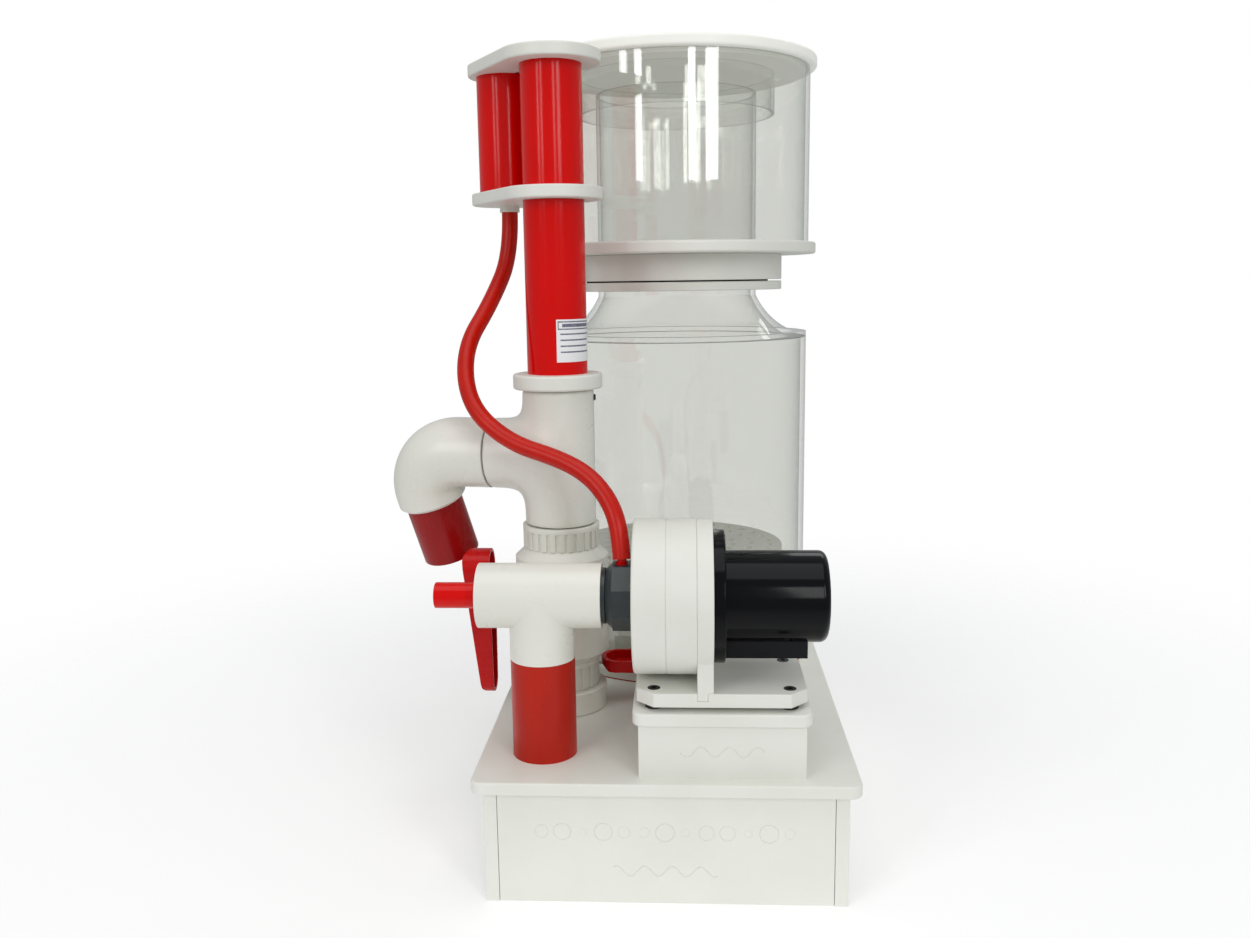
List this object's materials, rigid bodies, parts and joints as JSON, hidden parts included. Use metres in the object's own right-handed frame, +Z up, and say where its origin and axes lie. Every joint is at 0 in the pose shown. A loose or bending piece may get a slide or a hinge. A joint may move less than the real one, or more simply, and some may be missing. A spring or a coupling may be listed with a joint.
{
  "type": "protein skimmer",
  "caption": "External protein skimmer: clear reaction body and lift-off collection cup on a base box, with a recirculating pump, ball valve, turning standpipe and air silencer.",
  "frame": {"origin": "centre of the base box at its underside, on the middle rib", "axes": "+Z up, -Y towards the front where the pump stands, +X to the right"},
  "size_m": [0.3852, 0.491, 0.665],
  "materials": {
    "white_pvc": "satin sheet, softly rounded edges",
    "white_fitting": "moulded, smooth",
    "clear_acrylic": "polished and transparent",
    "red_pipe": "smooth and glossy",
    "red_handle": "moulded, glossy",
    "dark_grey_pvc": "moulded, smooth",
    "black_casing": "smooth and glossy",
    "black_rubber": "matt",
    "red_rubber": "matt",
    "red_hose": "smooth silicone",
    "black_steel": "blackened",
    "rotor_black": "moulded"
  },
  "bodies": {
    "root": {"air_hose": "red_hose", "air_nipple": "red_pipe", "base_front_panel": "white_pvc", "base_plate": "white_pvc", "base_rear_panel": "white_pvc", "base_rib": "white_pvc", "base_side_panels": "white_pvc", "body_floor": "white_pvc", "body_seal": "red_rubber", "body_shoulder": "clear_acrylic", "body_tube": "clear_acrylic", "bubble_plate": "white_pvc", "column_socket": "white_fitting", "cup_seal": "black_rubber", "diffuser_pot": "white_pvc", "drain_valve_body": "white_fitting", "inlet_pipe": "red_pipe", "lower_union_nut": "white_fitting", "motor_box": "black_casing", "motor_can": "black_casing", "motor_flange": "black_casing", "neck_ring": "white_pvc", "outlet_elbow": "white_fitting", "outlet_manifold": "white_fitting", "outlet_pipe": "red_pipe", "outlet_tee": "white_fitting", "pedestal_box": "white_pvc", "pedestal_top": "white_pvc", "plate_posts": "white_pvc", "pump_adapter": "dark_grey_pvc", "pump_base": "white_pvc", "pump_bracket": "white_pvc", "pump_dampers": "black_rubber", "pump_outlet_pipe": "white_fitting", "pump_screws": "black_steel", "silencer_front_tube": "red_pipe", "silencer_lower_plate": "white_pvc", "silencer_rear_tube": "red_pipe", "silencer_top_plate": "white_pvc", "standpipe_gland": "white_pvc", "suction_manifold": "white_fitting", "suction_stub": "red_pipe", "suction_tee": "white_fitting", "upper_union_nut": "white_fitting", "valve_body": "white_fitting", "volute_front": "white_pvc", "volute_rear": "white_pvc"},
    "cup": {"cup_ring": "white_pvc", "cup_floor": "white_pvc", "cup_tube": "clear_acrylic", "riser_tube": "clear_acrylic"},
    "lid": {"cup_lid": "white_pvc", "lid_skirt": "clear_acrylic"},
    "outlet_valve": {"valve_ball": "white_fitting", "valve_stem": "dark_grey_pvc", "valve_lever": "red_handle"},
    "level_pipe": {"standpipe": "red_pipe"},
    "drain_tap": {"drain_handle": "red_handle"},
    "rotor": {"needle_wheel": "rotor_black", "rotor_shaft": "rotor_black"}
  },
  "joints": [
    {"name": "cup_lift", "type": "slide", "parent": "root", "child": "cup", "axis": [0, 0, 1], "range_m": [0, 0.06]},
    {"name": "lid_lift", "type": "slide", "parent": "cup", "child": "lid", "axis": [0, 0, 1], "range_m": [0, 0.05]},
    {"name": "valve_turn", "type": "hinge", "parent": "root", "child": "outlet_valve", "pos_m": [-0.16, -0.085, 0.191], "axis": [1, 0, 0], "range_deg": [0, 90]},
    {"name": "standpipe_turn", "type": "hinge", "parent": "root", "child": "level_pipe", "pos_m": [-0.09, -0.085, 0.381], "axis": [0, 0, 1], "range_deg": [0, 180]},
    {"name": "drain_turn", "type": "hinge", "parent": "root", "child": "drain_tap", "pos_m": [0.005, -0.072, 0.128], "axis": [0, 0, 1], "range_deg": [0, 90]},
    {"name": "rotor_spin", "type": "hinge", "parent": "root", "child": "rotor", "pos_m": [0.042, -0.187, 0.225], "axis": [1, 0, 0], "continuous": true}
  ]
}
